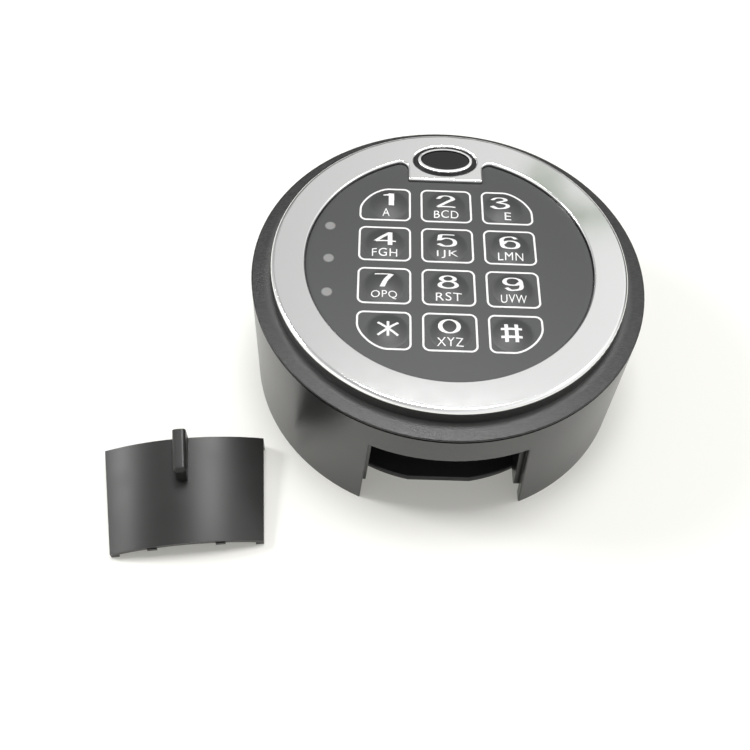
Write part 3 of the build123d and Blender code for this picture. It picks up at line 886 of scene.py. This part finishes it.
def written(character, pen, width, height):
    """A character written with a broad nib, as a bmesh of flattened strokes."""
    squeeze = pen[1] / pen[0]
    half_width = (width - pen[0]) / 2 * squeeze
    half_height = (height - pen[1]) / 2
    curve = bpy.data.curves.new("pen", "CURVE")
    curve.dimensions = "3D"
    curve.bevel_depth = pen[1] / 2
    curve.bevel_resolution = 3
    curve.resolution_u = stroke_steps
    curve.use_fill_caps = True
    closed = character in loops
    for points in loops.get(character) or strokes[character]:
        spline = curve.splines.new("BEZIER")
        spline.use_cyclic_u = closed
        spline.bezier_points.add(len(points) - 1)
        for point, (x, y) in zip(spline.bezier_points, points):
            point.co = (x * half_width, y * half_height, 0)
            point.handle_left_type = point.handle_right_type = "AUTO"
        if closed:
            draw_oval(spline)
    shape = curve_shape(curve)
    flat = stroke_swell * ink_thickness / pen[1]
    bmesh.ops.scale(shape, vec=(1 / squeeze, 1, flat), verts=shape.verts)
    bmesh.ops.remove_doubles(shape, verts=shape.verts, dist=merge_mm)
    bmesh.ops.recalc_face_normals(shape, faces=shape.faces)
    return shape


def curve_shape(curve):
    """The mesh that a curve or a text makes, as a bmesh."""
    holder = bpy.data.objects.new("holder", curve)
    bpy.context.scene.collection.objects.link(holder)
    bpy.context.view_layer.update()
    settled = holder.evaluated_get(bpy.context.evaluated_depsgraph_get())
    mesh = bpy.data.meshes.new_from_object(settled)
    shape = bmesh.new()
    shape.from_mesh(mesh)
    bpy.data.objects.remove(holder)
    bpy.data.curves.remove(curve)
    bpy.data.meshes.remove(mesh)
    return shape


# %% [markdown]
# ## Letters and the figure 1
#
# The letters are plain alphabet groups in a thin, even type, so Blender's own will do. It comes
# flat: I stretch it to its measured size, cut it along a fine grid so that it can bend, and give
# it its thickness. The 1 goes the same way from an outline, since its top has a corner that no
# nib draws.

# %% Flat type
facet = 0.55


def set_type(words, weight, spacing, gaps=()):
    """Words in Blender's own type as a flat bmesh, with more room after some letters."""
    curve = bpy.data.curves.new("type", "FONT")
    curve.body = words
    curve.offset = weight
    curve.space_character = spacing
    curve.resolution_u = 6
    for letter, gap in zip(curve.body_format, gaps):
        letter.kerning = gap
    return curve_shape(curve)


def figure_one():
    """A footless 1: a thick upright stroke with a flag that sweeps out to the left."""
    outline = [
        (1.40, 2.2),
        (1.40, -2.2),
        (0.0, -2.2),
        (0.0, 1.28),
        (-1.40, 1.35),
        (-1.40, 1.75),
        (-0.70, 1.80),
        (-0.20, 1.95),
        (0.10, 2.2),
    ]
    shape = bmesh.new()
    shape.faces.new([shape.verts.new((x, y, 0)) for x, y in reversed(outline)])
    return shape


def fit(shape, width, height, x, y):
    """Stretch a shape to a width and height and centre it on a point."""
    low = [min(vert.co[axis] for vert in shape.verts) for axis in (0, 1)]
    high = [max(vert.co[axis] for vert in shape.verts) for axis in (0, 1)]
    middle = [(a + b) / 2 for a, b in zip(low, high)]
    bmesh.ops.translate(shape, vec=(-middle[0], -middle[1], 0), verts=shape.verts)
    stretch = (width / (high[0] - low[0]), height / (high[1] - low[1]), 1)
    bmesh.ops.scale(shape, vec=stretch, verts=shape.verts)
    bmesh.ops.translate(shape, vec=(x, y, 0), verts=shape.verts)


def thicken(shape):
    """Cut a flat shape along a fine grid and give it the ink's thickness."""
    steps = range(math.floor(-pillow_radius / facet), math.ceil(pillow_radius / facet) + 1)
    for normal in (Vector((1, 0, 0)), Vector((0, 1, 0))):
        for step in steps:
            everything = shape.verts[:] + shape.edges[:] + shape.faces[:]
            place = normal * step * facet
            bmesh.ops.bisect_plane(shape, geom=everything, plane_co=place, plane_no=normal)
    bmesh.ops.triangulate(shape, faces=shape.faces)
    raise_ink(shape)


def print_on_key(shape, name, kind):
    """Bend a shape over a key's pillow, and make it a piece that travels with the key."""
    for vert in shape.verts:
        vert.co.z += pillow_height(math.hypot(vert.co.x, vert.co.y))
    bmesh.ops.translate(shape, vec=(*key_centre(name), 0), verts=shape.verts)
    finished(shape, f"{kind}_{name}", white_ink, "key_" + name)


# %% Print the keys
digit_height = 4.6
digit_rise = 1.66
digit_widths = dict(zip("1234567890", (2.8, 5.15, 5.3, 5.65, 5.25, 5.25, 4.8, 5.3, 5.25, 5.55)))
letter_height = 2.27
letter_drop = 2.84
letter_weight = -0.004
letter_spacing = 1.1
letter_widths = {"A": 1.85, "E": 1.7, "IJK": 5.4}
letter_gaps = {"IJK": (19, 0, 0)}
letter_width = 6.4
middle_shift = (-0.15, -0.05)
side_shifts = {"1": (-0.1, -0.75), "3": (-0.9, 1.05)} | dict.fromkeys("2580", middle_shift)
key_letters = {
    "1": "A",
    "2": "BCD",
    "3": "E",
    "4": "FGH",
    "5": "IJK",
    "6": "LMN",
    "7": "OPQ",
    "8": "RST",
    "9": "UVW",
    "0": "XYZ",
}
for name, letters in key_letters.items():
    digit_x, letter_x = side_shifts.get(name, (0, 0))
    size = (digit_widths[name], digit_height)
    shape = figure_one() if name == "1" else written(name, nib, *size)
    fit(shape, *size, digit_x, digit_rise)
    if name == "1":
        thicken(shape)
    print_on_key(shape, name, "digit")
    shape = set_type(letters, letter_weight, letter_spacing, letter_gaps.get(letters, ()))
    fit(shape, letter_widths.get(letters, letter_width), letter_height, letter_x, -letter_drop)
    thicken(shape)
    print_on_key(shape, name, "letters")

signs = {
    "star": ("*", star_nib, (5.35, 4.36), (0.05, 0.35)),
    "hash": ("#", sign_nib, (5.1, 5.25), (-0.25, 0.2)),
}
for name, (sign, pen, size, place) in signs.items():
    shape = written(sign, pen, *size)
    fit(shape, *size, *place)
    print_on_key(shape, name, "sign")
print("characters printed on", len(key_letters) + len(signs), "keys")

# %% [markdown]
# ## The battery cover
#
# The cover is a curved door with a pull tab, two side rails and two lugs. It has come off the
# front opening and lies on its rails, outer face up. Its plate is a piece of the drum's own wall,
# so its round face turns about an axis too, which now runs under the table and slopes a little.
# The CAD's tab is a touch long and blunt, so I draw its nose back, taper its foot and round its
# shoulders, and draw the lugs' ends back.

# %% Dress the cover
cover_way = Vector((0.1278, -0.9839, -0.1248)).normalized()
cover_axis = (Vector((-67.60, -28.99, -39.90)) * MM, cover_way)
tab_trim = 2.1
tab_reach = 9.0
tab_taper = 0.25
nose_round = 0.5
lug_trim = 0.35
tab_width = 3.4
shoulder_height = 2.5
shoulder_round = 1.0
shoulder_segments = 4
shoulder_share = 0.8
foot_height = 1.0
plate_length = 28.15


def trimmed_cover():
    """The cover's shape, with the tab's nose and the lugs' ends drawn back along its axis."""
    shape = cad_copy("battery_cover")
    foot, along = cover_axis[0] / MM, cover_axis[1]
    lengthwise = {vert: (vert.co - foot).dot(along) for vert in shape.verts}
    outer = {vert: spoke(vert.co, (foot, along)).length for vert in shape.verts}
    nose = [vert for vert in shape.verts if tab_reach < lengthwise[vert] < plate_length - tab_reach]
    lugs = [vert for vert in shape.verts if lengthwise[vert] > plate_length + lug_trim]
    tip = max(lengthwise[vert] for vert in nose)
    crown = max(outer[vert] for vert in nose)
    plate = min(outer[vert] for vert in nose)
    centre = sum((vert.co for vert in nose), Vector()) / len(nose)
    rise = spoke(centre, (foot, along)).normalized()
    side = rise.cross(along)
    for vert in nose:
        depth = crown - outer[vert]
        if outer[vert] > plate + foot_height:
            vert.co += along * (tip - lengthwise[vert]) * nose_round + rise * depth * nose_round
        vert.co -= side * (vert.co - centre).dot(side) * tab_taper * depth / (crown - plate)
    bmesh.ops.translate(shape, vec=-along * tab_trim, verts=nose)
    bmesh.ops.translate(shape, vec=-along * lug_trim, verts=lugs)

    def on_shoulder(edge):
        """A long edge of the tab's outer face, on its left or its right side."""
        places = [(vert.co - centre).dot(side) for vert in edge.verts]
        high = all(outer[vert] > plate + shoulder_height for vert in edge.verts)
        return high and abs(sum(places)) > tab_width * shoulder_share

    shoulders = [edge for edge in shape.edges if on_shoulder(edge)]
    round_edges(shape, shoulders, shoulder_round, shoulder_segments)
    print("edges on the tab's shoulders:", len(shoulders))
    print("nose points:", len(nose), "lug points:", len(lugs))
    print("tab's height in millimetres:", round(crown - plate, 1))
    return shape


cover = finished(
    trimmed_cover(), "battery_cover_dressed", cover_plastic, "cover", ["battery_cover"]
)
true_normals(cover, cover_axis)
print("cover dressed, faces:", len(cover.data.polygons))

# %% [markdown]
# ## Table
#
# The photograph stands on a white table that runs into a white background, and only the soft
# shadow near the lock is left. The table is a big plane in nearly white paint. What the camera
# and the reflections see of it is mixed with some plain white light, so that it meets the
# background without a seam, and its shadow stays. The share of that light grows with the distance
# from the lock, so the table's far edge melts into the white. The paint is a little cream, which
# shows only in the shade.

# %% Table
table_paint = (0.97, 0.966, 0.93)
table_light = (1.0, 0.995, 0.92)
table_reach = 3.0
table_glow = 0.25
table_fade = (0.40, 1.10)
table_roughness = 0.7
white = (1, 1, 1)


def rays(nodes, *kinds):
    """1 for rays of the named kinds, and 0 for all others."""
    outlets = nodes.node("ShaderNodeLightPath").socket.node.outputs
    found = [Wire(nodes, outlets[kind]) for kind in kinds]
    return sum(found[1:], found[0])


def pale_table():
    """White paint, part of which the camera and the reflections see as plain white light."""
    finish = Finish("table_paint", table_paint, table_roughness)
    from_lock = finish.node("ShaderNodeTexCoord", output="Object")
    far = finish.ramp(finish.distance(from_lock), *table_fade)
    colour = finish.mix(far, table_light, white)
    glow = finish.node("ShaderNodeEmission", {}, {"Color": colour, "Strength": 1.0})
    seen = rays(finish, "Is Camera Ray", "Is Glossy Ray", "Is Transmission Ray")
    share = seen * (table_glow + far * (1 - table_glow))
    surface = Wire(finish, finish.shader.outputs[0])
    mixed = finish.node("ShaderNodeMixShader", {}, {0: share, 1: surface, 2: glow})
    finish.plug(finish.tree.nodes["Material Output"].inputs["Surface"], mixed)
    return finish.material


table_shape = bmesh.new()
bmesh.ops.create_grid(table_shape, x_segments=1, y_segments=1, size=table_reach)
table_mesh = bpy.data.meshes.new("table")
table_shape.to_mesh(table_mesh)
table_shape.free()
table_mesh.materials.append(pale_table())
table = bpy.data.objects.new("table", table_mesh)
bpy.context.scene.collection.objects.link(table)
table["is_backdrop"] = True

# %% [markdown]
# ## Studio
#
# Glossy black plastic and chrome show the room more than themselves. The camera's background is
# plain white, but what the lock mirrors is a real room: bright all round at table height and
# overhead, and darker low down behind the table, where the wall gets no light. That dark band is
# what draws the soft crescents on the keys. The right side is a little brighter than the left,
# but a window stands far out on the left. A green patch of leaves hangs where the chrome's right
# side looks. The room is a sky whose brightness depends on the direction looked in.

# %% The room as a sky
room_low_back = 0.14
room_high = 0.74
room_spread = 0.36
wall_reach = (0.10, 0.55)
ceiling_reach = (0.38, 0.70)
right_share = 0.70
left_window = 0.5
window_reach = (-0.75, -0.35)
plant_way = (0.198, 0.689, 0.697)
plant_share = 0.25
plant_reach = (0.02, 0.10)
leaf_scale = 16.0
leaf_edge = (0.42, 0.62)
leaf_colour = (0.62, 0.78, 0.52)

world = bpy.data.worlds.new("studio")
bpy.context.scene.world = world
world.use_nodes = True
room = Nodes(world.node_tree)
gaze = room.node("ShaderNodeTexCoord")
looking = room.node("ShaderNodeSeparateXYZ", {}, {0: gaze})
ways = looking.socket.node.outputs
across, away, upwards = (Wire(room, ways[axis]) for axis in "XYZ")
behind = room.ramp(away, *wall_reach)
high = room.ramp(upwards, *ceiling_reach)
mirrored = 1.0 - behind * (1.0 - high) * (1.0 - room_low_back) - high * (1.0 - room_high)
window = room.ramp(across, *window_reach, start=left_window, end=0.0)
mirrored = mirrored + high * across * right_share + window
offset = room.distance(gaze, plant_way)
leaves = room.node("ShaderNodeTexNoise", {}, {"Vector": gaze, "Scale": leaf_scale, "Detail": 2.0})
plant = room.ramp(offset, *plant_reach, start=1.0, end=0.0) * room.ramp(leaves, *leaf_edge)
mirrored = mirrored * (1.0 - plant * (1.0 - plant_share))
seen_plain = rays(room, "Is Camera Ray")
seen_in_gloss = rays(room, "Is Glossy Ray", "Is Transmission Ray")
spreading = 1.0 - seen_plain - seen_in_gloss
strength = seen_plain + seen_in_gloss * mirrored + spreading * room_spread
background = world.node_tree.nodes["Background"]
room.plug(background.inputs["Strength"], strength)
room.plug(background.inputs["Color"], room.mix(plant * seen_in_gloss, white, leaf_colour))

# %% [markdown]
# ## Lamps
#
# Two lamps share the main work. A wide one, nearly straight overhead, lights the colours and
# draws the shadow, which therefore keeps close under the lock. The other hangs a little behind
# and gives only the sheen, which slides over the flat rim and panel towards the camera and leaves
# their far side dark. A weaker lamp stands low at the left and draws the upright band of light on
# the cover, and a faint one lights the drum's wall from the right.

# %% Lamps
lamp_distance = 1.0


def lamp(name, direction, size, power):
    """A square area lamp that hangs at the lamps' distance in metres and points at the lock."""
    data = bpy.data.lights.new(name, "AREA")
    data.size = size
    data.energy = power
    light = bpy.data.objects.new(name, data)
    bpy.context.scene.collection.objects.link(light)
    back = Vector(direction).normalized()
    turn = (-back).to_track_quat("-Z", "Y").to_matrix().to_4x4()
    light.matrix_world = Matrix.Translation(back * lamp_distance) @ turn
    return light


overhead_lamp = lamp("overhead_lamp", (0.0, 0.08, 1.0), size=0.36, power=6.0)
overhead_lamp.visible_glossy = False
sheen_lamp = lamp("sheen_lamp", (0.05, 0.33, 1.0), size=0.25, power=6.3)
sheen_lamp.visible_diffuse = False
lamp("left_lamp", (-0.76, 0.15, 0.64), size=0.22, power=3.8)
lamp("right_lamp", (0.57, 0.12, 0.81), size=0.25, power=0.9)

bpy.context.scene.view_settings.view_transform = "Standard"

# %% [markdown]
# ## Finish
#
# The dressed model's box, without the table, is printed in millimetres.

# %% Print the dressed box
dressed_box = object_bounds()
dressed_sides = dressed_box[1] - dressed_box[0]
print("dressed box in millimetres:", [round(side / MM, 1) for side in dressed_sides])
